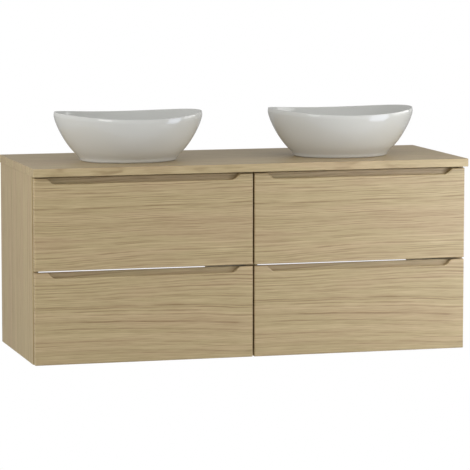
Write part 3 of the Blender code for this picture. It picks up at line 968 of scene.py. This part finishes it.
    def inside(self, steps: int = 30, fall_steps: int = 8) -> list[list[Point]]:
        """The inner wall, the floor's fall to the drain, and the recess round the drain hole.

        Args:
            steps: steps down the wall.
            fall_steps: steps along the floor.

        Returns:
            The loops, from the rim to the drain hole.
        """
        loops = []
        floor_x, floor_y = self.floor
        top_drop = self.rim_edge * 1.6
        for k in range(1, steps + 1):
            share = (1.0 - k / steps) ** self.inner_gather
            spread = self.opened(share, self.inner_bulge)
            reach = (
                floor_x + (self.rim[0] - self.inner_inset - floor_x) * spread,
                floor_y + (self.rim[1] - self.inner_inset - floor_y) * spread,
            )
            loops.append(self.wall_ring(share, self.floor_height, top_drop, reach))
        recess = self.drain_recess
        for k in range(1, fall_steps + 1):
            share = k / fall_steps
            drop = self.drain_fall * share**self.fall_gather
            half_x = floor_x + (recess + self.recess_edge - floor_x) * share
            half_y = floor_y + (recess + self.recess_edge - floor_y) * share
            loops.append(self.flat(half_x, half_y, self.floor_height - drop))
        edge_level = self.floor_height - self.drain_fall
        rings = (
            (recess + self.recess_break, self.recess_break),
            (recess, self.recess_edge),
            (recess, self.recess_depth),
            (self.drain_hole, self.recess_depth),
        )
        loops += [self.flat(radius, radius, edge_level - depth) for radius, depth in rings]
        return loops

    def build(self) -> None:
        """Make the basin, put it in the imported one's place and glaze it."""
        loops = self.outside() + self.rim_top() + self.inside()
        piece = Loft("vessel_basin_" + self.side, loops, capped=False).build(smooth_angle=50.0)
        install(piece, CERAMIC, "basin_" + self.side, CARCASS_BODY)


# ---------------------------------------------------------------- drawer fronts
@dataclass
class DrawerFront:
    """An oak drawer front with softly rounded edges and a finger grip milled into its top."""

    level: str
    side: str
    finish: OakFinish
    rounding: float = 0.003
    small: float = 0.0008
    lip: float = 0.005
    rear_wall: float = 0.0045
    side_inset: float = 0.036
    lip_drop: float = 0.0155
    channel_drop: float = 0.028
    grip_corner: float = 0.016
    outline_corner: float = 0.0012
    cove: float = 0.0025
    cove_bend: float = 0.0008
    half_slant: float = 22.5
    corner_steps: int = 8

    def __post_init__(self) -> None:
        """Read the front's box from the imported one."""
        self.node = "drawer_front_{}_{}".format(self.level, self.side)
        self.low, self.high = box_of(self.node)
        self.half = (self.high.x - self.low.x) / 2.0
        self.middle = (self.high.x + self.low.x) / 2.0

    def arc(self, cx: float, cz: float, radius: float, start: float, end: float) -> list[Spot]:
        """Points on an arc, in degrees from the X direction.

        Args:
            cx: the centre's X.
            cz: the centre's Z.
            radius: the arc's radius.
            start: where it starts.
            end: where it ends.

        Returns:
            The points, the ends included.
        """
        points = []
        for k in range(self.corner_steps + 1):
            angle = math.radians(start + (end - start) * k / self.corner_steps)
            points.append((cx + radius * math.cos(angle), cz + radius * math.sin(angle)))
        return points

    def outline(self, drop: float, inset: float) -> list[Spot]:
        """The front's outline drawn in by an inset, with the grip cut down to a drop.

        Args:
            drop: how deep the grip is at this depth of the board; 0 for none.
            inset: how far the outline is drawn in.

        Returns:
            The outline's points, always the same number of them.
        """
        base, top = self.low.z + inset, self.high.z - inset
        reach = self.half - inset
        corner = self.outline_corner
        points = []
        corners = ((-1, base + corner, 180), (1, base + corner, 270), (1, top - corner, 0))
        for sign, edge_z, start in corners:
            points += self.arc(sign * (reach - corner), edge_z, corner, start, start + 90)
        points += self.grip_points(drop, inset, top)
        points += self.arc(-(reach - corner), top - corner, corner, 90, 180)
        return [(self.middle + x, z) for x, z in points]

    def grip_points(self, drop: float, inset: float, top: float) -> list[Spot]:
        """The grip's part of the outline, from right to left: 45-degree ends and rounded corners.

        Args:
            drop: how deep the grip is.
            inset: how far the outline is drawn in, which widens the grip.
            top: the height of the drawn-in top edge.

        Returns:
            Two arcs of points.
        """
        floor = self.high.z - drop - inset if drop > 0.0 else top
        slant = self.half - self.side_inset + inset * math.tan(math.radians(self.half_slant)) * 2.0
        depth = max(top - floor, 0.0)
        upper = slant - (self.high.z - top) + (inset if drop > 0.0 else 0.0)
        lower = upper - depth
        radius = min(self.grip_corner + inset, depth * 1.2)
        tangent = radius * math.tan(math.radians(self.half_slant))
        centre_x = lower - tangent
        right = [(upper, top)]
        for x, z in self.arc(centre_x, floor + radius, radius, -45, -90):
            right.append((x, z))
        left = [(-x, z) for x, z in reversed(right)]
        return right + left

    def loops(self, steps: int = 7) -> tuple[list[list[Point]], list[int]]:
        """The loops from the face to the rear, and those that stay crisp.

        Args:
            steps: steps in the rounding of the face's edge.

        Returns:
            The loops and the crisp loops' places in the list.
        """
        face, rear = self.low.y, self.high.y
        stages: list[Point] = []
        for k in range(steps + 1):
            turn = math.pi / 2.0 * k / steps
            depth = face + self.rounding * (1.0 - math.cos(turn))
            stages.append((depth, self.lip_drop, self.rounding * (1.0 - math.sin(turn))))
        small, floor = self.small, self.channel_drop
        lip_rear, wall = face + self.lip, rear - self.rear_wall
        # Each stage is a depth, how deep the grip is there, and how far the outline is drawn in.
        stages += [
            (lip_rear - small, self.lip_drop, 0.0),
            (lip_rear - small * 0.3, self.lip_drop + small * 0.3, 0.0),
            (lip_rear, self.lip_drop + small, 0.0),
            (lip_rear, floor - self.cove, 0.0),
            (lip_rear + self.cove_bend, floor - self.cove_bend, 0.0),
            (lip_rear + self.cove, floor, 0.0),
            (wall - self.cove, floor, 0.0),
            (wall - self.cove_bend, floor - self.cove_bend, 0.0),
            (wall, floor - self.cove, 0.0),
            (wall, small * 1.2, 0.0),
            (wall + small, 0.0, 0.0),
            (rear - small, 0.0, 0.0),
            (rear - small * 0.3, 0.0, small * 0.3),
            (rear, 0.0, small),
        ]
        loops = [[(x, y, z) for x, z in self.outline(drop, inset)] for y, drop, inset in stages]
        return loops, [0, *range(steps, len(stages))]

    def build(self) -> None:
        """Make the front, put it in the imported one's place and dress it."""
        loops, crisp = self.loops()
        piece = Loft("front_{}_{}".format(self.level, self.side), loops, capped=True).build(crisp, 40.0)
        install(piece, self.finish, self.node, "drawer_{}_{}".format(self.level, self.side))


# ---------------------------------------------------------------- boards and hardware
@dataclass
class Boards:
    """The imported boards, rails and runners, which keep their shape and take a finish."""

    shifts: dict[str, float] = field(default_factory=dict)

    def __post_init__(self) -> None:
        """Find how far each cabinet is from the middle, so that both show the same figure."""
        for side in SIDES:
            low, high = box_of("cabinet_{}_bottom".format(side))
            self.shifts[side] = -(low.x + high.x) / 2.0

    def oak_for(self, kind: str, side: str, grain: Grain, seed: Point, **looks: float) -> OakFinish:
        """The oak of one kind of board, drawn alike in both cabinets.

        Args:
            kind: the board's kind, which names the finish.
            side: which cabinet.
            grain: which way the grain runs.
            seed: which stretch of the figure is read.
            looks: other settings of the finish.

        Returns:
            The finish.
        """
        along = self.shifts[side] if grain is not Grain.UPRIGHT_ON_SIDE else 0.0
        depth = self.shifts[side] if grain is Grain.UPRIGHT_ON_SIDE else 0.0
        shift = (seed[0] + along, seed[1], seed[2] + depth)
        return OakFinish("oak_{}_{}".format(kind, side), grain, shift, **looks)

    @staticmethod
    def dress(node: str, finish: Finish) -> None:
        """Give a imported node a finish.

        Args:
            node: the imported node.
            finish: its finish.
        """
        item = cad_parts[node]
        item.data.materials.clear()
        item.data.materials.append(finish.material())

    def build(self) -> None:
        """Dress every board, drawer board, profile and runner."""
        top = OakFinish("oak_worktop", Grain.ALONG_WIDTH_ON_TOP, (3.1, 0.7, 1.9), arching=0.025)
        self.dress("worktop", top)
        for side in SIDES:
            upright = self.oak_for(
                "side", side, Grain.UPRIGHT_ON_SIDE, (0.4, 5.3, 2.2), arching=0.02, contrast=0.7
            )
            inner = self.oak_for("inner", side, Grain.ALONG_WIDTH_ON_TOP, (7.0, 2.1, 0.3), arching=0.06)
            rail = self.oak_for("rail", side, Grain.ALONG_WIDTH_ON_FRONT, (9.0, 1.1, 4.3), arching=0.06)
            for hand in SIDES:
                self.dress("cabinet_{}_side_{}".format(side, hand), upright)
                for level in LEVELS:
                    self.dress("drawer_side_{}_{}_{}".format(level, side, hand), POWDER_COAT)
                    self.dress("runner_{}_{}_{}".format(level, side, hand), ZINC)
                self.dress("hanger_{}_{}".format(side, hand), ZINC)
            for board in ("bottom", "front_rail"):
                self.dress("cabinet_{}_{}".format(side, board), inner)
            for board in ("hanging_rail", "lower_rear_rail"):
                self.dress("cabinet_{}_{}".format(side, board), rail)
            for level in LEVELS:
                for board in ("bottom", "back"):
                    self.dress("drawer_{}_{}_{}".format(board, level, side), MELAMINE)
            self.dress("trap_surround_" + side, PLASTIC)
        LOG.info("boards and hardware dressed")


@dataclass
class Fluting:
    """Shallow flutes round a collar or a nut, only where the radius is past a limit."""

    count: int
    depth: float
    beyond: float
    fullness: float = 0.6

    def __call__(self, angle: float, radius: float) -> float:
        """The radius at an angle, cut in between the ribs.

        Args:
            angle: the angle round the axis.
            radius: the radius that the profile gives.

        Returns:
            The radius there.
        """
        if radius < self.beyond:
            return radius
        share = abs(math.cos(self.count * angle / 2.0)) ** self.fullness
        return radius - self.depth * (1.0 - share)


@dataclass
class WasteFitting:
    """A basin waste: a rolled flange on a threaded tail, a domed push plug and a lobed nut."""

    side: str
    tail_radius: float = 0.021
    bore_radius: float = 0.0185
    flange_height: float = 0.003
    flange_roll: float = 0.0012
    thread_pitch: float = 0.002
    thread_depth: float = 0.0006
    thread_top: float = 0.500
    plug_edge: float = 0.002
    plug_roll: float = 0.0005
    stem_radius: float = 0.004
    nut_bore: float = 0.0213
    nut_roll: float = 0.0012
    crown_steps: int = 18

    def spot(self, node: str) -> tuple[Matrix, Vector, Vector]:
        """Where a turned part stands, and its corners.

        Args:
            node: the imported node.

        Returns:
            A matrix on its axis at Z 0, and its lowest and highest corners.
        """
        low, high = box_of(node)
        return Matrix.Translation(((low.x + high.x) / 2.0, (low.y + high.y) / 2.0, 0.0)), low, high

    def body(self) -> None:
        """The flange and the tail, threaded from its end to just above the nut."""
        node = "waste_body_" + self.side
        place, low, high = self.spot(node)
        flange = (high.x - low.x) / 2.0
        seat = high.z - self.flange_height
        dish = [
            (self.bore_radius, seat),
            (self.bore_radius, high.z - self.flange_height / 2.0),
            (self.bore_radius + 2.0 * self.flange_roll, high.z),
            (flange - self.flange_roll, high.z),
            (flange, high.z - self.flange_roll),
            (flange, seat),
            (self.tail_radius, seat),
            (self.tail_radius, self.thread_top),
        ]
        outline = rounded_profile(dish, self.flange_roll)
        turns = int((self.thread_top - low.z) / self.thread_pitch)
        for k in range(1, turns):
            crest = self.thread_top - k * self.thread_pitch
            outline.append((self.tail_radius - self.thread_depth, crest + self.thread_pitch / 2.0))
            outline.append((self.tail_radius, crest))
        outline += [(self.tail_radius - self.thread_depth, low.z), (self.bore_radius, low.z)]
        piece = Turned("threaded_waste_" + self.side, outline, closed=True).build(place)
        install(piece, CHROME, node, CARCASS_BODY)

    def plug(self) -> None:
        """The domed plug and its stem, which lift together."""
        node = "waste_plug_" + self.side
        place, low, high = self.spot(node)
        radius = (high.x - low.x) / 2.0
        under = high.z - self.flange_height * 2.0
        rise = high.z - under - self.plug_edge
        outline = [(0.0, high.z)]
        for k in range(1, self.crown_steps + 1):
            turn = math.pi / 2.0 * k / self.crown_steps
            outline.append((radius * math.sin(turn), under + self.plug_edge + rise * math.cos(turn)))
        foot = [
            outline[-1],
            (radius, under),
            (radius - 3.0 * self.plug_edge, under),
            (radius - 3.0 * self.plug_edge, under + self.plug_roll),
            (self.stem_radius, under + self.plug_roll),
            (self.stem_radius, low.z),
            (0.0, low.z),
        ]
        outline = outline[:-1] + rounded_profile(foot, self.plug_roll)
        piece = Turned("domed_plug_" + self.side, outline, closed=False).build(place, 96)
        install(piece, CHROME, node, "plug_" + self.side)

    def nut(self) -> None:
        """The plastic nut that draws the waste down onto the worktop."""
        node = "waste_nut_" + self.side
        place, low, high = self.spot(node)
        radius = (high.x - low.x) / 2.0
        outline = [
            (self.nut_bore, (low.z + high.z) / 2.0),
            (self.nut_bore, high.z),
            (radius, high.z),
            (radius, low.z),
            (self.nut_bore, low.z),
            (self.nut_bore, (low.z + high.z) / 2.0),
        ]
        outline = rounded_profile(outline, self.nut_roll)[:-1]
        lobes = Fluting(8, 0.003, radius - 2.0 * self.nut_roll)
        piece = Turned("lobed_nut_" + self.side, outline, closed=True).build(place, 96, lobes)
        install(piece, PLASTIC, node, CARCASS_BODY)

    def build(self) -> None:
        """Make the three parts."""
        self.body()
        self.plug()
        self.nut()


@dataclass
class BottleTrap:
    """A bottle trap: a fluted cup and collar on a smooth body, and the outlet pipe to the wall."""

    side: str
    wall: float = 0.0025
    cup_height: float = 0.024
    groove: float = 0.0012
    shoulder: float = 0.393
    sleeve_bore: float = 0.0213
    sleeve_radius: float = 0.0245
    collar_radius: float = 0.027
    collar_height: float = 0.020
    corner: float = 0.003
    pipe_collar: float = 0.0205
    pipe_collar_length: float = 0.014
    pipe_bore: float = 0.013
    bore_play: float = 0.0003
    roll: float = 0.0008

    def body_outline(self, low: Vector, high: Vector) -> list[Spot]:
        """The trap's section, from the middle of its inner floor round to the middle of its foot.

        Args:
            low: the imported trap's lowest corner.
            high: its highest corner.

        Returns:
            The outline as (radius, height) points.
        """
        radius = (high.x - low.x) / 2.0
        chamber = radius - self.wall
        inner = [
            (0.0, low.z + self.wall),
            (chamber, low.z + self.wall),
            (chamber, self.shoulder - self.wall),
            (self.sleeve_bore, self.shoulder),
            (self.sleeve_bore, high.z),
            (self.collar_radius, high.z),
            (self.collar_radius, high.z - self.collar_height),
            (self.sleeve_radius, high.z - self.collar_height),
            (self.sleeve_radius, self.shoulder + self.corner),
            (radius - self.groove, self.shoulder - self.corner),
        ]
        cup_top = low.z + self.cup_height
        outer = [
            (radius - self.groove, cup_top + self.corner),
            (radius - 2.0 * self.groove, cup_top + self.corner),
            (radius - 2.0 * self.groove, cup_top),
            (radius, cup_top),
            (radius, low.z + self.corner),
            (radius - self.corner, low.z),
            (0.0, low.z),
        ]
        return rounded_profile(inner + outer, self.roll)

    @staticmethod
    def bored(
        item: bpy.types.Object, place: Matrix, radius: float, reach: Spot
    ) -> bpy.types.Object:
        """Drill a piece through with a cylinder and keep the result as its mesh.

        Args:
            item: the piece.
            place: the drill's own axis and origin.
            radius: the drill's radius.
            reach: where the drill starts and ends along its axis.

        Returns:
            The drilled piece.
        """
        near, far = reach
        outline = [(0.0, near), (radius, near), (radius, far), (0.0, far)]
        drill = Turned("drill", outline, closed=False).build(place)
        knife = item.modifiers.new("outlet", "BOOLEAN")
        knife.operation = "DIFFERENCE"
        knife.solver = "EXACT"
        knife.object = drill
        bpy.context.view_layer.update()
        graph = bpy.context.evaluated_depsgraph_get()
        drilled = bpy.data.meshes.new_from_object(item.evaluated_get(graph))
        item.modifiers.clear()
        item.data = drilled
        bpy.data.objects.remove(drill, do_unlink=True)
        return item

    def build(self) -> None:
        """Make the trap and its outlet."""
        node = "trap_body_" + self.side
        low, high = box_of(node)
        radius = (high.x - low.x) / 2.0
        middle = Vector(((low.x + high.x) / 2.0, (low.y + high.y) / 2.0, 0.0))
        flutes = Fluting(36, 0.0007, self.collar_radius - 0.0001)
        trap = Turned("bottle_trap_" + self.side, self.body_outline(low, high), closed=False)
        piece = trap.build(Matrix.Translation(middle), 144, flutes)
        outlet = "trap_outlet_" + self.side
        start, end = box_of(outlet)
        pipe = (end.x - start.x) / 2.0
        at_pipe = Matrix.Translation((middle.x, start.y, (start.z + end.z) / 2.0))
        at_pipe = at_pipe @ Matrix.Rotation(math.radians(-90.0), 4, "X")
        piece = self.bored(piece, at_pipe, pipe + self.bore_play, (-self.corner, 4.0 * self.corner))
        install(piece, CHROME, node, CARCASS_BODY)
        length = end.y - start.y
        collar = middle.y + radius + self.corner - start.y
        outline = [
            (self.pipe_bore, length / 2.0),
            (self.pipe_bore, 0.0),
            (pipe, 0.0),
            (pipe, collar),
            (self.pipe_collar, collar),
            (self.pipe_collar, collar + self.pipe_collar_length),
            (pipe, collar + self.pipe_collar_length),
            (pipe, length),
            (self.pipe_bore, length),
            (self.pipe_bore, length / 2.0),
        ]
        ribs = Fluting(28, 0.0007, self.pipe_collar - 0.001)
        outline = rounded_profile(outline, self.roll)[:-1]
        pipe_piece = Turned("outlet_pipe_" + self.side, outline, closed=True).build(at_pipe, 112, ribs)
        install(pipe_piece, CHROME, outlet, CARCASS_BODY)


# ---------------------------------------------------------------- stage, light and camera
@dataclass(frozen=True)
class Glow:
    """A soft patch of the room's walls or ceiling that is brighter than the rest."""

    turn: float
    rise: float
    inner: float
    outer: float
    strength: float

    def towards(self) -> Point:
        """The direction of its middle; turn is from straight in front towards the right.

        Returns:
            A unit vector.
        """
        turn, rise = math.radians(self.turn), math.radians(self.rise)
        return (
            math.sin(turn) * math.cos(rise),
            -math.cos(turn) * math.cos(rise),
            math.sin(rise),
        )


class Reach(Enum):
    """Whether a lamp gives sheen or matt light."""

    SHEEN = "sheen"
    MATT = "matt"


@dataclass(frozen=True)
class SoftBox:
    """A rectangular lamp that faces a point."""

    name: str
    place: Point
    aim: Point
    size: Spot
    power: float
    reach: Reach
    colour: Point = (1.0, 1.0, 1.0)

    def hang(self) -> None:
        """Add the lamp to the scene."""
        data = bpy.data.lights.new(self.name, "AREA")
        data.shape = "RECTANGLE"
        data.size, data.size_y = self.size
        data.energy = self.power
        data.color = self.colour
        item = bpy.data.objects.new(self.name, data)
        item.location = self.place
        facing = Vector(self.aim) - Vector(self.place)
        item.rotation_euler = facing.to_track_quat("-Z", "Y").to_euler()
        item.visible_glossy = self.reach is Reach.SHEEN
        item.visible_diffuse = self.reach is Reach.MATT
        bpy.context.scene.collection.objects.link(item)


@dataclass
class Studio:
    """A white room: a pale floor under the wall-hung vanity, soft light and the camera."""

    floor_drop: float = 0.33
    floor_reach: float = 14.0
    floor_paint: Colour = (0.62, 0.62, 0.61)
    floor_roughness: float = 0.9
    room_paint: Colour = (1.0, 0.995, 0.985)
    white: Colour = (1.0, 1.0, 1.0)
    base_light: float = 0.485
    glows: tuple[Glow, ...] = (Glow(0.0, 90.0, 10.0, 70.0, 0.05),)
    boxes: tuple[SoftBox, ...] = (
        SoftBox(
            "sheen_front",
            (1.29, -1.02, 0.42),
            (0.35, -0.2, 0.3),
            (0.7, 1.05),
            7.2,
            Reach.SHEEN,
            (0.93, 1.0, 1.22),
        ),
        SoftBox("sheen_left", (-1.77, -2.05, 1.03), (0.0, -0.1, 0.6), (0.85, 0.42), 4.8, Reach.SHEEN),
        SoftBox("sheen_right", (1.55, -0.05, 0.83), (0.3, -0.05, 0.6), (1.0, 0.35), 2.6, Reach.SHEEN),
        SoftBox("matt_right", (1.33, -1.13, 0.77), (0.35, -0.2, 0.35), (0.7, 1.5), 13.4, Reach.MATT),
        SoftBox("matt_front", (1.0, -2.0, 0.60), (0.35, -0.2, 0.35), (1.0, 1.6), 5.4, Reach.MATT),
        SoftBox("matt_left", (-2.14, -0.87, 1.00), (-0.3, -0.1, 0.4), (1.0, 1.2), 21.1, Reach.MATT),
    )
    camera_place: Point = (-2.1055, -7.6246, 1.2132)
    camera_pitch: float = 6.547
    camera_turn: float = 15.493
    lens: float = 221.8
    sensor: float = 36.0

    def camera(self) -> None:
        """Set the camera at the viewing angle, square to the frame."""
        data = bpy.data.cameras.new("camera")
        data.lens = self.lens
        data.sensor_width = self.sensor
        item = bpy.data.objects.new("camera", data)
        item.location = self.camera_place
        item.rotation_euler = (
            math.radians(90.0 - self.camera_pitch),
            0.0,
            math.radians(-self.camera_turn),
        )
        bpy.context.scene.collection.objects.link(item)
        bpy.context.scene.camera = item

    def glow_strength(self, wires: Wiring) -> bpy.types.NodeSocket:
        """The room's light in each direction: an even base and the soft glows.

        Args:
            wires: the world's tree.

        Returns:
            The strength socket.
        """
        way = wires.node("ShaderNodeTexCoord").outputs["Generated"]
        total: object = self.base_light
        for glow in self.glows:
            facing = wires.node("ShaderNodeVectorMath", operation="DOT_PRODUCT")
            wires.feed(facing.inputs[0], way)
            facing.inputs[1].default_value = glow.towards()
            outer, inner = math.cos(math.radians(glow.outer)), math.cos(math.radians(glow.inner))
            share = wires.span(facing.outputs["Value"], outer, inner, 0.0, glow.strength)
            total = wires.maths("ADD", share, total)
        return total

    def backdrop(self) -> None:
        """Light the room from its walls and let the camera see it white."""
        world = bpy.data.worlds.new("white_room")
        world.use_nodes = True
        bpy.context.scene.world = world
        wires = Wiring(world.node_tree)
        output = world.node_tree.nodes["World Output"]
        room = world.node_tree.nodes["Background"]
        room.inputs["Color"].default_value = (*self.room_paint, 1.0)
        wires.feed(room.inputs["Strength"], self.glow_strength(wires))
        white = wires.node("ShaderNodeBackground")
        white.inputs["Color"].default_value = (*self.white, 1.0)
        mixed = wires.node("ShaderNodeMixShader")
        wires.feed(mixed.inputs[0], wires.node("ShaderNodeLightPath").outputs["Is Camera Ray"])
        wires.feed(mixed.inputs[1], room.outputs[0])
        wires.feed(mixed.inputs[2], white.outputs[0])
        wires.feed(output.inputs["Surface"], mixed.outputs[0])
        bpy.context.scene.view_settings.view_transform = "Standard"

    def floor(self) -> None:
        """Lay the pale floor, which the camera sees as white as the room."""
        work = bmesh.new()
        bmesh.ops.create_grid(work, x_segments=1, y_segments=1, size=self.floor_reach)
        for vert in work.verts:
            vert.co.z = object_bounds()[0][2] - self.floor_drop
        floor = MeshPiece.from_bmesh("floor", work)
        pale = bpy.data.materials.new("pale_floor")
        pale.use_nodes = True
        tree = pale.node_tree
        wires = Wiring(tree)
        matt = tree.nodes["Principled BSDF"]
        matt.inputs["Base Color"].default_value = (*self.floor_paint, 1.0)
        matt.inputs["Roughness"].default_value = self.floor_roughness
        glow = wires.node("ShaderNodeEmission")
        glow.inputs["Color"].default_value = (*self.white, 1.0)
        mixed = wires.node("ShaderNodeMixShader")
        wires.feed(mixed.inputs[0], wires.node("ShaderNodeLightPath").outputs["Is Camera Ray"])
        wires.feed(mixed.inputs[1], matt.outputs[0])
        wires.feed(mixed.inputs[2], glow.outputs[0])
        wires.feed(tree.nodes["Material Output"].inputs["Surface"], mixed.outputs[0])
        floor.data.materials.append(pale)
        floor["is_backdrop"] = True

    def build(self) -> None:
        """Set the room, the floor, the lamps and the camera."""
        self.backdrop()
        self.floor()
        for box in self.boxes:
            box.hang()
        self.camera()
        LOG.info("studio set")


# ---------------------------------------------------------------- assembly
def main() -> None:
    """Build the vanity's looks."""
    logging.basicConfig(level=logging.INFO, format="%(message)s")
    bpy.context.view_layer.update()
    Studio().build()
    boards = Boards()
    boards.build()
    for side in SIDES:
        VesselBasin(side).build()
        WasteFitting(side).build()
        BottleTrap(side).build()
        for level in LEVELS:
            grain, seed = Grain.ALONG_WIDTH_ON_FRONT, FRONT_FIGURE[level]
            finish = boards.oak_for("front_" + level, side, grain, seed)
            DrawerFront(level, side, finish).build()


if __name__ == "__main__":
    main()
